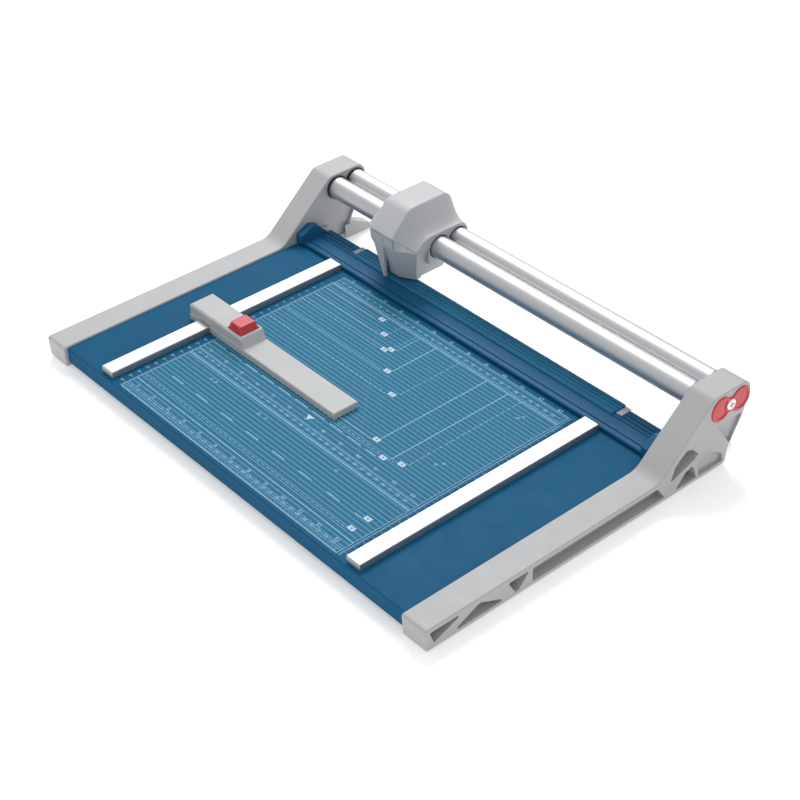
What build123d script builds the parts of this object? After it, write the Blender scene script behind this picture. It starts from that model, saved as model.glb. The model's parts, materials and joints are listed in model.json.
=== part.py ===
from build123d import *
import math
import os

# Rotary paper trimmer: two moulded side frames carry a sheet metal table and two guide
# tubes, and a cutting head with a round blade slides along the tubes.
# Millimetres. +X runs along the cut, +Y to the back, +Z up. The origin is the middle
# of the base, on the surface the rubber feet stand on.

# Fits
RUN = 0.05          # radial running clearance of a sliding or turning fit
SLIP = 0.3          # clear gap between pieces of different bodies
SEAT = 0.02         # radial gap of a seated pin or tube
CAP_FIT = 0.1       # gap of an end cap and of its screw head in their seats
OVER = 1.0          # how far a cutting shape reaches past the surface it opens

# Main sizes
FRAME_OUT = 288.0   # half of the overall length, over the side frames
FRAME_W = 30.1      # width of one side frame
FRAME_IN = FRAME_OUT - FRAME_W
FRONT_Y = -199.6
FOOT_DROP = 1.45    # rubber foot below the frame
TABLE_TOP = 22.5
Y_CUT = 139.8       # the cutting edge
TUBE_Z = 69.3

# Table
TABLE_T = 1.8
TABLE_FRONT = FRONT_Y + 4.8
TABLE_LEDGE = 9.6   # how far the table reaches into each frame
TABLE_LOW = TABLE_TOP - TABLE_T
FLANGE_H = 16.7
TABLE_BEND_R = 1.45

# Cutting edge
BLADE_BAR_W = 8.4
BLADE_BAR_H = 9.6
BLADE_RELIEF = 1.2  # undercut along the back of the lower blade
BED_W = 23.9
BED_H = 7.2
BED_WALL = 3.6
BED_BACK_GAP = 0.72
BED_TOP = TABLE_TOP - BLADE_BAR_H
BED_LOW = BED_TOP - BED_H
BED_SCREW_XS = (-179.2, 0.0, 179.2)
BED_SCREW_R = 1.8
BED_SCREW_BITE = 6.0
BED_SCREW_HEAD_R = 3.3
BED_SCREW_HEAD_H = 2.4
BED_SOCKET_R = 1.65
BED_SOCKET_DEEP = 1.45

# Front cross rod
TIE_Y = -133.8
TIE_Z = 11.2
TIE_R = 4.8
TIE_COLLAR = 1.65
TIE_COLLAR_L = 7.8

# Cutting head face and guide tubes
HEAD_FACE_Y = Y_CUT + 1.65      # front face of the blade holder and of the hood's lower part
TUBE_R = 12.0
TUBE_WALL = 1.8
TUBE_BREAK = 0.48
TUBE_SPACING = 2 * TUBE_R + 1.9
TUBE_SEAT = 12.4                # depth of each tube in its frame
TUBE_END = FRAME_IN + TUBE_SEAT
BUSH_R = TUBE_R + 1.2
BUSH_L = 10.8
BUSH_WALL = 1.3                 # hood wall in front of the front bushing
TUBE_FRONT_Y = HEAD_FACE_Y + BUSH_WALL + BUSH_R
TUBE_REAR_Y = TUBE_FRONT_Y + TUBE_SPACING
TUBE_YS = (TUBE_FRONT_Y, TUBE_REAR_Y)
TUBE_MID_Y = (TUBE_FRONT_Y + TUBE_REAR_Y) / 2
SLEEVE_R = TUBE_R + 1.45
SLEEVE_PROUD = 1.8
SLEEVE_DEEP = 3.6

# End caps over the tubes
CAP_R = TUBE_R + 0.84
CAP_T = 4.1
CAP_SINK = 2.85
CAP_RIM = 0.96
CAP_BRIDGE = TUBE_R + 3.6
CAP_DISH = 0.6
CAP_DISH_RIM = 3.1
CAP_SCREW_R = 5.9
CAP_SCREW_SINK = 1.65
CAP_SCREW_HEAD = 2.15
CAP_SCREW_DOME = 1.2
CAP_SCREW_LONG = 14.3
CAP_SHANK_R = 1.9
CAP_BOSS = 1.9
CAP_SLOT = (2.15, 6.5, 1.45)

# Side frame moulding
BEAM_TOP = TABLE_TOP + 2.4
TOP_Z = TUBE_Z + CAP_R + 2.75
BACK_Y = TUBE_REAR_Y + CAP_R + 2.15
BEAM_FLANGE = 4.3               # top and bottom flange left around the open pockets
POCKET_DEEP = 13.1
POCKET_MID = 9.6
POCKET_SHALLOW = 3.6
POCKET_LOW = FOOT_DROP + BEAM_FLANGE
POCKET_HIGH = BEAM_TOP - BEAM_FLANGE
NECK_TOP = TUBE_Z - CAP_R - 5.4     # top of the pockets below the tube seats
EDGE_R = 1.45
FRAME_OUTLINE = [
    (FRONT_Y + 1.2, FOOT_DROP, 1.8), (FRONT_Y, BEAM_TOP, 3.0), (78.9, BEAM_TOP, 21.5),
    (TUBE_FRONT_Y - 8.4, TOP_Z, 10.8), (BACK_Y - 2.15, TOP_Z, 10.8), (BACK_Y, TUBE_Z + 2.15, 3.6),
    (BACK_Y - 7.9, TUBE_Z - 20.6, 9.6), (172.1, 18.9, 9.6), (169.1, FOOT_DROP, 3.6),
]
OUTER_POCKETS = [
    (POCKET_DEEP, 1.45, [(FRONT_Y + 4.8, POCKET_HIGH), (FRONT_Y + 43.0, POCKET_HIGH), (FRONT_Y + 9.6, 7.4)]),
    (POCKET_MID, 1.45, [(FRONT_Y + 29.9, POCKET_LOW), (FRONT_Y + 60.9, POCKET_HIGH - 0.96),
                       (FRONT_Y + 90.8, POCKET_LOW)]),
    (POCKET_DEEP, 1.45, [(FRONT_Y + 93.2, POCKET_HIGH), (FRONT_Y + 118.3, POCKET_HIGH),
                        (FRONT_Y + 105.8, 6.2), (FRONT_Y + 101.6, 6.2)]),
    (POCKET_MID, 1.45, [(FRONT_Y + 121.9, POCKET_LOW), (FRONT_Y + 121.9, POCKET_HIGH),
                       (77.1, POCKET_HIGH), (87.8, POCKET_LOW)]),
    (POCKET_MID, 1.9, [(93.2, 17.9), (99.2, 33.5), (112.3, 44.9), (120.7, 42.5), (130.3, 32.9), (124.3, 28.7)]),
    (POCKET_DEEP, 1.2, [(101.6, POCKET_LOW), (113.5, 19.6), (122.5, 22.5), (125.5, 17.9), (129.7, POCKET_LOW)]),
    (POCKET_SHALLOW, 1.9, [(132.6, POCKET_LOW), (129.1, 26.3), (142.2, 29.4), (163.7, 15.5),
                           (165.5, POCKET_LOW)]),
    (POCKET_SHALLOW, 1.9, [(153.0, NECK_TOP), (184.6, NECK_TOP), (187.6, NECK_TOP - 2.15), (173.3, 22.2)]),
]
INNER_RECESS = [(100.4, 29.9), (151.8, NECK_TOP - 0.96), (164.9, NECK_TOP - 0.96), (186.4, NECK_TOP - 3.3),
                (172.7, 23.9), (166.1, 7.2), (142.2, 7.2), (142.2, 26.3)]
INNER_RECESS_DEEP = 3.6
INNER_RECESS_CORNER = 2.4
LUG_OUTLINE = [(163.7, FOOT_DROP), (163.7, 18.2), (179.2, 18.2), (199.6, 7.4), (199.6, FOOT_DROP)]
LUG_PROUD = 1.65
LUG_CORNER = 1.2
LUG_ROOT = 12.0

# Table screws and feet, on each frame
TABLE_SCREW_YS = (-119.5, 71.7)
TABLE_SCREW_X = FRAME_IN + 5.3
TABLE_SCREW_R = 1.9
TABLE_SCREW_HEAD_R = 3.6
TABLE_SCREW_HEAD_H = 2.65
TABLE_SCREW_SLOT = (4.1, 0.96, 2.4)
FOOT_YS = (FRONT_Y + 20.3, 153.0)
FOOT_L = 28.7
FOOT_W = 15.5
FOOT_SINK = 1.9
FOOT_X = FRAME_IN + 10.0
FOOT_CORNER = 6.0
FOOT_RIM = 0.72

# Guide rails on the table
RAIL_W = 17.8
RAIL_H = 6.9
RAIL_GAP = 359.3    # clear width between the two rails
RAIL_LEFT_IN = -183.3
RAIL_FRONT = FRONT_Y + 9.6
RAIL_BACK = 98.7
RAIL_BREAK = 0.6
RAIL_PIN_YS = (-155.3, -2.4)
RAIL_PIN_R = 1.8
RAIL_PIN_HEAD_R = 2.85
RAIL_PIN_HEAD = 1.45
RAIL_PIN_ROOF = 2.4

# Clamp
CLAMP_LIFT = 1.9    # paper gap below the clamp at rest
CLAMP_T = 2.85
CLAMP_LOW = TABLE_TOP + CLAMP_LIFT
CLAMP_TOP = CLAMP_LOW + CLAMP_T
CLAMP_FRONT = Y_CUT - 40.4
CLAMP_BACK = Y_CUT - 2.65
CLAMP_EDGE = Y_CUT - 0.48       # back edge of the strip and the lip
CLAMP_GROOVES = [(CLAMP_FRONT + 3.8, CLAMP_FRONT + 6.9), (CLAMP_FRONT + 20.3, CLAMP_FRONT + 21.3),
                 (CLAMP_FRONT + 24.9, CLAMP_FRONT + 26.1), (CLAMP_FRONT + 29.9, CLAMP_FRONT + 31.1)]
GROOVE_DEEP = 0.96
BRACKET_W = 9.6
BRACKET_OUT = FRAME_IN - SLIP
CLAMP_HALF = BRACKET_OUT - BRACKET_W
BRACKET_OUTLINE = [(Y_CUT - 43.0, CLAMP_LOW), (Y_CUT - 42.5, TABLE_TOP + 12.5),
                   (Y_CUT - 26.3, TABLE_TOP + 19.6),
                   (Y_CUT - 18.6, TABLE_TOP + 16.6), (Y_CUT - 6.0, CLAMP_LOW)]
BRACKET_CORNER = 1.2
LIP_HALF = RAIL_GAP / 2 + 9.7
LIP_FRONT = Y_CUT - 19.1
LIP_T = 1.65
LIP_BEVEL = 1.2
LIP_RIB_PITCH = 4.8
LIP_RIB_W = 0.72
LIP_RIB_DEEP = 0.48
STRIP_HALF = LIP_HALF + 7.8
STRIP_FRONT = Y_CUT - 14.3
STRIP_T = 0.96
CLAMP_PIN_R = 2.4
CLAMP_PIN_X = FRAME_IN - 5.3
CLAMP_PIN_Y = Y_CUT - 29.9
CLAMP_PIN_TOP = TABLE_TOP + 13.4
CLAMP_PIN_HEAD = 1.8
CLAMP_SPRING_R = 3.0
CLAMP_SPRING_WIRE = 0.36
CLAMP_SPRING_TOP = TABLE_TOP + 10.9
CLAMP_SPRING_GAP = 0.24
CLAMP_SPRING_TURNS = 6

# Backstop
STOP_LEFT = RAIL_LEFT_IN - RAIL_W - 16.3
STOP_HUMP_END = RAIL_LEFT_IN + 51.4
STOP_RIGHT = RAIL_LEFT_IN + 198.4
STOP_FRONT = -72.9
STOP_BACK = -43.0
STOP_LOW = TABLE_TOP + SLIP
STOP_ARM_Z = TABLE_TOP + 7.2
STOP_HUMP_Z = TABLE_TOP + 17.9
ARM_BREAK = 0.72
STOP_EDGE_R = 1.6
STOP_SOLE_R = 0.6
HUMP_FRONT = STOP_FRONT + 1.2
HUMP_BACK = STOP_BACK - 0.72
HUMP_BEVEL = 1.65
HUMP_RAKE = 4.8
BUTTON_TOP = TABLE_TOP + 25.7
BUTTON_TRAVEL = 3.6
BUTTON_X = (RAIL_LEFT_IN + 26.3, RAIL_LEFT_IN + 49.0)
BUTTON_Y = (STOP_FRONT + 4.1, STOP_BACK - 2.85)
BUTTON_LOW = STOP_ARM_Z + BUTTON_TRAVEL + 0.72
BUTTON_CORNER = 2.4
BUTTON_TAPER = (6.7, 4.1)
BUTTON_RIM = 1.1
POCKET_FLOOR = STOP_LOW + 2.25
STOP_SPRING_R = 4.8
STOP_SPRING_WIRE = 0.6
STOP_SPRING_GAP = 0.48
STOP_SPRING_SEAT = 2.4
STOP_SPRING_TURNS = 5
PAWL_W = 9.6
PAWL_T = 1.9
PAWL_X = (RAIL_LEFT_IN + SLIP + 0.24, BUTTON_X[0] + 7.2)
PAWL_Z = (BUTTON_LOW - PAWL_T, BUTTON_LOW)

# Round blade and its axle
CUTTER_R = 26.9
CUTTER_T = 0.72
CUTTER_DIP = 2.4    # how far the round blade reaches below the table top
CUTTER_Z = TABLE_TOP - CUTTER_DIP + CUTTER_R
CUTTER_GAP = 0.1
CUTTER_Y = Y_CUT + CUTTER_GAP
CUTTER_GRIND = (0.54, 2.15)
BLADE_ROOM = 0.96
AXLE_R = 3.6
AXLE_DEEP = 16.7
AXLE_HEAD_R = 6.5
AXLE_HEAD_T = 1.9
AXLE_SLOT = (8.4, 1.65, 1.2)
HUB_R = 9.6
HUB_T = 3.1
HUB_FRONT = CUTTER_Y - HUB_T
HUB_RIM = 0.72
HUB_HOLES = 6
HUB_HOLE_R = 0.84
HUB_HOLE_RING = 7.4
HUB_HOLE_DEEP = 1.45
HUB_ROOM = 3.6      # free depth in front of the hub, for the axle head

# Cutting head
HEAD_X = -129.1     # where the head stands along the cut
HEAD_CORE = 17.9    # half width of the hood's flat top
HEAD_HALF = 38.2    # half width over the collars
HEAD_TOP = TUBE_Z + 44.0
GUARD_BOTTOM = TABLE_TOP + 8.6
GUARD_TOP = TUBE_Z + 3.9
HOOD_BORE_GAP = 0.72
HOOD_ROOF = 4.8
HOOD_WALL = 3.6
HOLDER_TOP = TUBE_Z - BUSH_R - 3.1
HOLDER_HALF = 22.1
HOLDER_BACK = TUBE_REAR_Y - 0.12
HOLDER_OUTLINE = [(HEAD_FACE_Y, GUARD_BOTTOM), (HEAD_FACE_Y, HOLDER_TOP), (HOLDER_BACK, HOLDER_TOP),
                  (HOLDER_BACK, GUARD_BOTTOM + 12.0), (HOLDER_BACK - 7.2, GUARD_BOTTOM)]
HOLDER_CORNER = 1.45
HOLDER_HOLE_XS = (-13.1, 13.1)
HOLDER_HOLE_Y = HEAD_FACE_Y + 23.4
HOLDER_HOLE_R = 3.1
HOLDER_HOLE_DEEP = 7.2
COLLAR_BACK = TUBE_REAR_Y + BUSH_R + 0.96
COLLAR_TOP = TUBE_Z + BUSH_R + 3.3
# The two hood sections have matching corners, from the cut round over the top to the back
HOOD_BIG = [(HEAD_FACE_Y, GUARD_TOP), (109.9, TUBE_Z + 16.3), (109.2, TUBE_Z + 18.6),
            (132.6, TUBE_Z + 42.1), (139.8, HEAD_TOP), (COLLAR_BACK - 12.4, HEAD_TOP),
            (COLLAR_BACK - 6.5, HEAD_TOP - 4.1), (COLLAR_BACK - 1.8, HEAD_TOP - 15.3),
            (COLLAR_BACK + 0.36, HOLDER_TOP + 4.3), (COLLAR_BACK - 2.4, HOLDER_TOP),
            (HEAD_FACE_Y, HOLDER_TOP)]
HOOD_SMALL = [(HEAD_FACE_Y, GUARD_TOP), (125.2, GUARD_TOP), (124.8, TUBE_Z + 5.3),
              (133.1, COLLAR_TOP - 3.8), (141.0, COLLAR_TOP), (COLLAR_BACK - 9.6, COLLAR_TOP - 0.24),
              (COLLAR_BACK - 3.6, COLLAR_TOP - 3.1), (COLLAR_BACK - 0.48, TUBE_Z + 7.2),
              (COLLAR_BACK, TUBE_Z - 7.2), (COLLAR_BACK - 2.85, HOLDER_TOP), (HEAD_FACE_Y, HOLDER_TOP)]
FLARE = [(0.0, 0.0), (0.08, 0.28), (0.22, 0.53), (0.42, 0.75), (0.68, 0.92), (1.0, 1.0)]
GUARD_UPPER = [(-38.2, 125.2), (-17.9, 111.6), (17.9, 111.6), (38.2, 125.2), (38.2, HEAD_FACE_Y),
               (-38.2, HEAD_FACE_Y)]
GUARD_LOWER = [(-24.5, 135.0), (-8.4, 126.3), (8.4, 126.3), (24.5, 135.0), (24.5, HEAD_FACE_Y),
               (-24.5, HEAD_FACE_Y)]
CHIN = [(111.6, GUARD_TOP), (110.7, GUARD_TOP + 11.8), (HEAD_FACE_Y, GUARD_TOP)]
SLOT_LOW_X = (-15.5, -5.7)
SLOT_HIGH_X = (0.0, 1.65)
SLOT_TOP = GUARD_TOP + 5.6
SLOT_Y = (107.6, 136.2)
FINGER_TIP = [(-6.0, 116.4), (-3.1, 116.4), (-3.1, 118.8), (-6.0, 118.8)]
FINGER_TIP_Z = GUARD_BOTTOM - 0.72
FINGER_ROOT = [(-17.4, 110.4), (1.45, 110.4), (1.45, 115.2), (-17.4, 115.2)]
FINGER_ROOT_Z = GUARD_TOP + 11.1


def rounded_outline(points):
    """Closed outline from (u, v, corner radius) points, as one face in XY."""
    count = len(points)
    arcs = []
    for i in range(count):
        u, v, r = points[i]
        here = Vector(u, v)
        back = (Vector(*points[i - 1][:2]) - here).normalized()
        ahead = (Vector(*points[(i + 1) % count][:2]) - here).normalized()
        half = math.acos(max(-1.0, min(1.0, back.dot(ahead)))) / 2
        reach = r / math.tan(half)
        inward = (back + ahead).normalized()
        centre = here + inward * (r / math.sin(half))
        arcs.append((here + back * reach, centre - inward * r, here + ahead * reach, r))
    edges = []
    for i in range(count):
        start, middle, end, r = arcs[i]
        if r > 0:
            edges.append(ThreePointArc(start, middle, end))
        edges.append(Line(end, arcs[(i + 1) % count][0]))
    return make_face(edges)


def prism_x(points, x_low, x_high):
    """Profile given in (y, z, radius), extruded along X."""
    face = Plane.YZ.offset(x_low) * rounded_outline(points)
    return extrude(face, amount=x_high - x_low)


def block(x_low, x_high, y_low, y_high, z_low, z_high):
    """Plain box between limits."""
    size = (x_high - x_low, y_high - y_low, z_high - z_low)
    place = Pos((x_low + x_high) / 2, (y_low + y_high) / 2, (z_low + z_high) / 2)
    return place * Box(*size)


def rod_x(x_low, x_high, y, z, radius):
    return Pos((x_low + x_high) / 2, y, z) * Rot(0, 90, 0) * Cylinder(radius, x_high - x_low)


def rod_y(x, y_low, y_high, z, radius):
    return Pos(x, (y_low + y_high) / 2, z) * Rot(90, 0, 0) * Cylinder(radius, y_high - y_low)


def rod_z(x, y, z_low, z_high, radius):
    return Pos(x, y, (z_low + z_high) / 2) * Cylinder(radius, z_high - z_low)


def level_face(points, z):
    """Flat face at height z through (x, y) points."""
    return make_face(Polyline(*[Vector(x, y, z) for x, y in points], close=True))


def upright_face(points, x):
    """Flat face at x through (y, z) points."""
    return make_face(Polyline(*[Vector(x, y, z) for y, z in points], close=True))


def polygon(points, radius):
    """The same corner radius on every corner."""
    return [(y, z, radius) for y, z in points]


def left_of(part):
    return mirror(part, about=Plane.YZ)


# --- side frames ---------------------------------------------------------------


def peanut(x_low, x_high, radius, bridge):
    """Two round lobes joined by a narrow bridge, the outline of the tube ends."""
    shape = block(x_low, x_high, TUBE_FRONT_Y, TUBE_REAR_Y, TUBE_Z - bridge / 2, TUBE_Z + bridge / 2)
    for y in TUBE_YS:
        shape += rod_x(x_low, x_high, y, TUBE_Z, radius)
    return shape


def side_frame():
    """Right side frame: a ribbed moulding, open outward in the beam, with a raised tube head."""
    body = prism_x(FRAME_OUTLINE, FRAME_IN, FRAME_OUT)
    rims = body.faces().filter_by(Axis.X).edges()
    body = fillet(rims, EDGE_R)
    body += prism_x(polygon(LUG_OUTLINE, LUG_CORNER), FRAME_IN - LUG_PROUD, FRAME_IN + LUG_ROOT)
    for depth, radius, points in OUTER_POCKETS:
        body -= prism_x(polygon(points, radius), FRAME_OUT - depth, FRAME_OUT + OVER)
    body -= prism_x(polygon(INNER_RECESS, INNER_RECESS_CORNER), FRAME_IN - OVER, FRAME_IN + INNER_RECESS_DEEP)
    body -= block(FRAME_IN - 2 * OVER, FRAME_IN + TABLE_LEDGE, TABLE_FRONT, Y_CUT - BLADE_BAR_W,
                  TABLE_LOW, TABLE_TOP)
    body -= peanut(FRAME_OUT - CAP_SINK, FRAME_OUT + OVER, CAP_R + CAP_FIT, CAP_BRIDGE + CAP_FIT)
    for y in TUBE_YS:
        body -= rod_x(FRAME_IN - OVER, TUBE_END + SEAT, y, TUBE_Z, TUBE_R + SEAT)
        body -= rod_x(FRAME_IN - OVER, FRAME_IN + SLEEVE_DEEP, y, TUBE_Z, SLEEVE_R + SEAT)
    body -= rod_x(FRAME_OUT - CAP_SCREW_LONG, FRAME_OUT, TUBE_MID_Y, TUBE_Z, CAP_SHANK_R)
    for y in TABLE_SCREW_YS:
        body -= table_screw_space(y)
    for y in FOOT_YS:
        body -= foot_space(y)
    return body


def table_screw_space(y):
    """Stepped hole from below for one table screw, shared by the screw itself."""
    shank = rod_z(TABLE_SCREW_X, y, FOOT_DROP, TABLE_LOW, TABLE_SCREW_R)
    head = rod_z(TABLE_SCREW_X, y, FOOT_DROP, FOOT_DROP + TABLE_SCREW_HEAD_H, TABLE_SCREW_HEAD_R)
    return shank + head


def table_screw(y):
    """Cross-head screw that holds the table down on the frame ledge."""
    body = table_screw_space(y)
    for turn in (0, 90):
        slot = Rot(0, 0, turn) * Box(*TABLE_SCREW_SLOT)
        body -= Pos(TABLE_SCREW_X, y, FOOT_DROP) * slot
    return body


def foot_space(y):
    """The pad outline that is sunk in the frame."""
    pad = RectangleRounded(FOOT_W, FOOT_L, FOOT_CORNER)
    return extrude(Pos(FOOT_X, y, 0) * pad, amount=FOOT_DROP + FOOT_SINK)


def foot(y):
    """Rubber pad with a rounded lower rim."""
    body = foot_space(y)
    rim = body.faces().sort_by(Axis.Z)[0].edges()
    return fillet(rim, FOOT_RIM)


# --- table and cutting edge ------------------------------------------------------


def table_plate():
    """Sheet metal table with a turned-down front edge."""
    half = FRAME_IN + TABLE_LEDGE
    back = Y_CUT - BLADE_BAR_W
    body = block(-half, half, TABLE_FRONT, back, TABLE_LOW, TABLE_TOP)
    corner = body.edges().filter_by(Axis.X).sort_by(Axis.Y)[0:2].sort_by(Axis.Z)[-1]
    flange = block(-FRAME_IN, FRAME_IN, TABLE_FRONT, TABLE_FRONT + TABLE_T,
                   TABLE_TOP - FLANGE_H, TABLE_LOW)
    body = fillet(corner, TABLE_BEND_R) + flange
    for x in (-CLAMP_PIN_X, CLAMP_PIN_X):
        body -= rod_z(x, CLAMP_PIN_Y, 0, TABLE_TOP + OVER, CLAMP_PIN_R + SEAT)
    for x_mid in (RAIL_LEFT_IN - RAIL_W / 2, RAIL_LEFT_IN + RAIL_GAP + RAIL_W / 2):
        for y in RAIL_PIN_YS:
            body -= rod_z(x_mid, y, 0, TABLE_TOP + OVER, RAIL_PIN_R + SEAT)
    return body


def lower_blade():
    """Hardened bar whose back upper edge is the fixed cutting edge."""
    half = FRAME_IN - SEAT
    body = block(-half, half, Y_CUT - BLADE_BAR_W, Y_CUT, BED_TOP, TABLE_TOP)
    under = BED_TOP - OVER
    shoulder = BED_TOP + BLADE_BAR_H / 2
    relief = [(Y_CUT, under), (Y_CUT + OVER, under), (Y_CUT + OVER, shoulder), (Y_CUT, shoulder),
              (Y_CUT - BLADE_RELIEF, BED_TOP + BLADE_RELIEF)]
    body -= prism_x(polygon(relief, 0), -half - OVER, half + OVER)
    for x in BED_SCREW_XS:
        body -= rod_z(x, Y_CUT - BLADE_BAR_W / 2, under, BED_TOP + BED_SCREW_BITE, BED_SCREW_R)
    return body


def bed_screw_space(x):
    y = Y_CUT - BLADE_BAR_W / 2
    shank = rod_z(x, y, BED_LOW, BED_TOP + BED_SCREW_BITE, BED_SCREW_R)
    return shank + rod_z(x, y, BED_LOW, BED_LOW + BED_SCREW_HEAD_H, BED_SCREW_HEAD_R)


def bed_screw(x):
    """Socket screw from below through the bed into the lower blade."""
    hexagon = Pos(x, Y_CUT - BLADE_BAR_W / 2, BED_LOW) * RegularPolygon(BED_SOCKET_R, 6)
    return bed_screw_space(x) - extrude(hexagon, amount=BED_SOCKET_DEEP)


def blade_bed():
    """Cross bar under the cutting edge; it ties the side frames and props the table."""
    half = FRAME_IN - SEAT
    front = Y_CUT - BED_W
    prop_back = Y_CUT - BLADE_BAR_W
    body = block(-half, half, front, Y_CUT - BED_BACK_GAP, BED_LOW, BED_TOP)
    body += block(-half, half, front, prop_back, BED_TOP, TABLE_LOW)
    body -= block(-half - OVER, half + OVER, front + BED_WALL, prop_back - BED_WALL,
                  BED_LOW - OVER, TABLE_LOW - BED_WALL)
    for x in BED_SCREW_XS:
        body -= bed_screw_space(x)
    return body


def tie_rod():
    """Round cross rod near the front, between the side frames, with end collars."""
    half = FRAME_IN - SEAT
    body = rod_x(-half, half, TIE_Y, TIE_Z, TIE_R)
    body += rod_x(-half, -half + TIE_COLLAR_L, TIE_Y, TIE_Z, TIE_R + TIE_COLLAR)
    return body + rod_x(half - TIE_COLLAR_L, half, TIE_Y, TIE_Z, TIE_R + TIE_COLLAR)


# --- guide tubes and their fittings -----------------------------------------------


def guide_tube(y):
    """Drawn aluminium tube with slightly broken ends."""
    body = rod_x(-TUBE_END, TUBE_END, y, TUBE_Z, TUBE_R)
    ends = body.edges().filter_by(GeomType.CIRCLE)
    body = chamfer(ends, TUBE_BREAK)
    return body - rod_x(-TUBE_END - OVER, TUBE_END + OVER, y, TUBE_Z, TUBE_R - TUBE_WALL)


def beyond_middle(x_low, x_high, y, radius):
    """Space past the plane midway between the tubes, seen from the tube at y."""
    reach = radius + OVER
    side = 1 if y < TUBE_MID_Y else -1
    near = TUBE_MID_Y - side * SEAT
    far = TUBE_MID_Y + side * reach
    return block(x_low - OVER, x_high + OVER, min(near, far), max(near, far),
                 TUBE_Z - reach, TUBE_Z + reach)


def tube_ring(x_low, x_high, y, radius, gap):
    """Ring around a tube, flat where it faces the ring on the other tube."""
    body = rod_x(x_low, x_high, y, TUBE_Z, radius) - beyond_middle(x_low, x_high, y, radius)
    return body - rod_x(x_low - OVER, x_high + OVER, y, TUBE_Z, TUBE_R + gap)


def tube_sleeve(y):
    """Black stop ring around the tube, let into the frame's inner face."""
    return tube_ring(FRAME_IN - SLEEVE_PROUD, FRAME_IN + SLEEVE_DEEP, y, SLEEVE_R, SEAT / 2)


def end_cap():
    """Figure-of-eight cap over both tube ends, with a sunk screw seat."""
    low = FRAME_OUT - CAP_SINK
    top = low + CAP_T
    body = peanut(low, top, CAP_R, CAP_BRIDGE)
    body = fillet(body.faces().sort_by(Axis.X)[-1].edges(), CAP_RIM)
    boss = rod_x(low, top + OVER, TUBE_MID_Y, TUBE_Z, CAP_SCREW_R + CAP_BOSS)
    for y in TUBE_YS:
        body -= rod_x(top - CAP_DISH, top + OVER, y, TUBE_Z, CAP_R - CAP_DISH_RIM) - boss
    body -= rod_x(top - CAP_SCREW_SINK, top + OVER, TUBE_MID_Y, TUBE_Z, CAP_SCREW_R + CAP_FIT)
    return body - rod_x(low - OVER, top, TUBE_MID_Y, TUBE_Z, CAP_SHANK_R + SEAT)


def cap_screw():
    """Domed cross-head screw in the middle of the cap."""
    seat = FRAME_OUT - CAP_SINK + CAP_T - CAP_SCREW_SINK
    crown = seat + CAP_SCREW_HEAD
    body = rod_x(seat, crown, TUBE_MID_Y, TUBE_Z, CAP_SCREW_R)
    body = fillet(body.faces().sort_by(Axis.X)[-1].edges(), CAP_SCREW_DOME)
    body += rod_x(FRAME_OUT - CAP_SCREW_LONG, seat, TUBE_MID_Y, TUBE_Z, CAP_SHANK_R)
    for turn in (0, 90):
        slot = Rot(turn, 0, 0) * Box(*CAP_SLOT)
        body -= Pos(crown, TUBE_MID_Y, TUBE_Z) * slot
    return body


# --- guide rails -------------------------------------------------------------------


def rail(x_low):
    """Flat aluminium side guide with broken top edges and two pin seats."""
    body = block(x_low, x_low + RAIL_W, RAIL_FRONT, RAIL_BACK, TABLE_TOP, TABLE_TOP + RAIL_H)
    top = body.faces().sort_by(Axis.Z)[-1].edges()
    body = chamfer(top, RAIL_BREAK)
    for y in RAIL_PIN_YS:
        body -= rail_pin_space(x_low + RAIL_W / 2, y)
    return body


def rail_pin_space(x, y):
    low = TABLE_LOW - RAIL_PIN_HEAD
    shank = rod_z(x, y, low, TABLE_TOP + RAIL_H - RAIL_PIN_ROOF, RAIL_PIN_R)
    return shank + rod_z(x, y, low, TABLE_LOW, RAIL_PIN_HEAD_R)


def rail_pin(x, y):
    """Rivet from below that holds a rail on the table."""
    body = rail_pin_space(x, y)
    return fillet(body.faces().sort_by(Axis.Z)[0].edges(), RAIL_PIN_HEAD * 0.4)


# --- clamp ---------------------------------------------------------------------------


def clamp_carrier():
    """Long ribbed blue strip that lies over the sheet just in front of the cut."""
    body = block(-CLAMP_HALF, CLAMP_HALF, CLAMP_FRONT, CLAMP_BACK, CLAMP_LOW, CLAMP_TOP)
    front = body.edges().filter_by(Axis.X).group_by(Axis.Y)[0].sort_by(Axis.Z)[-1]
    body = chamfer(front, CLAMP_T / 3)
    for low, high in CLAMP_GROOVES:
        body -= block(-CLAMP_HALF - OVER, CLAMP_HALF + OVER, low, high,
                      CLAMP_TOP - GROOVE_DEEP, CLAMP_TOP + OVER)
    body -= block(-STRIP_HALF, STRIP_HALF, STRIP_FRONT, CLAMP_BACK + OVER,
                  CLAMP_TOP - STRIP_T, CLAMP_TOP + OVER)
    return body


def clamp_strip():
    """Thin steel backing strip let into the carrier, longer than the clear lip."""
    return block(-STRIP_HALF, STRIP_HALF, STRIP_FRONT, CLAMP_EDGE, CLAMP_TOP - STRIP_T, CLAMP_TOP)


def clamp_lip():
    """Clear pressing lip with a chamfered front edge and fine grooves."""
    top = CLAMP_TOP + LIP_T
    body = block(-LIP_HALF, LIP_HALF, LIP_FRONT, CLAMP_EDGE, CLAMP_TOP, top)
    front = body.edges().filter_by(Axis.X).group_by(Axis.Y)[0].sort_by(Axis.Z)[-1]
    body = chamfer(front, LIP_BEVEL)
    for i in range(3):
        y = LIP_FRONT + LIP_RIB_PITCH * (i + 1)
        body -= block(-LIP_HALF - OVER, LIP_HALF + OVER, y, y + LIP_RIB_W, top - LIP_RIB_DEEP, top + OVER)
    return body


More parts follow.
